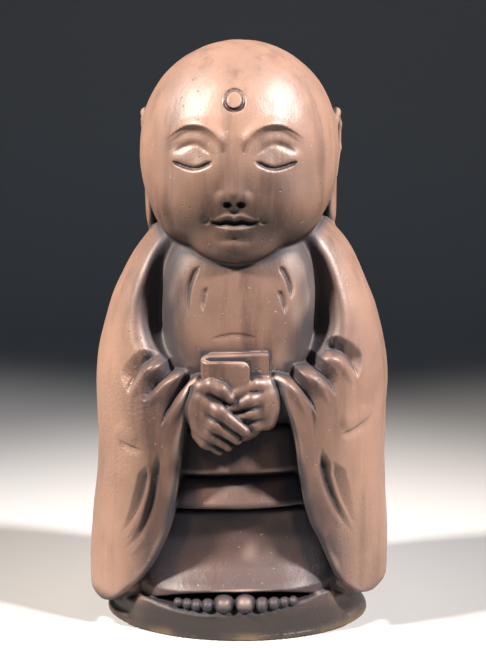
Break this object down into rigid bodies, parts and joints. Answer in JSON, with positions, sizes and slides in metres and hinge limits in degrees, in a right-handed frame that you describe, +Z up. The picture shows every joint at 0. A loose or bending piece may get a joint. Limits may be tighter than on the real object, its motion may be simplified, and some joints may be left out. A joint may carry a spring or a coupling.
{
  "type": "jizo statue",
  "caption": "Standing robed jizo in brown cast stone, bald head with long ear lobes, hands folded over a small folded booklet, bare toes on a low oval base.",
  "frame": {"origin": "on the ground under the middle of the oval base", "axes": "+Z up, -Y towards the figure's front, +X to the right of a person who faces the figure"},
  "size_m": [0.1805, 0.1292, 0.3399],
  "materials": {
    "cast_stone": "brown cast stone with a satin wash, darker in the recesses, finely pitted"
  },
  "bodies": {
    "root": {"statue": "cast_stone"}
  },
  "joints": []
}
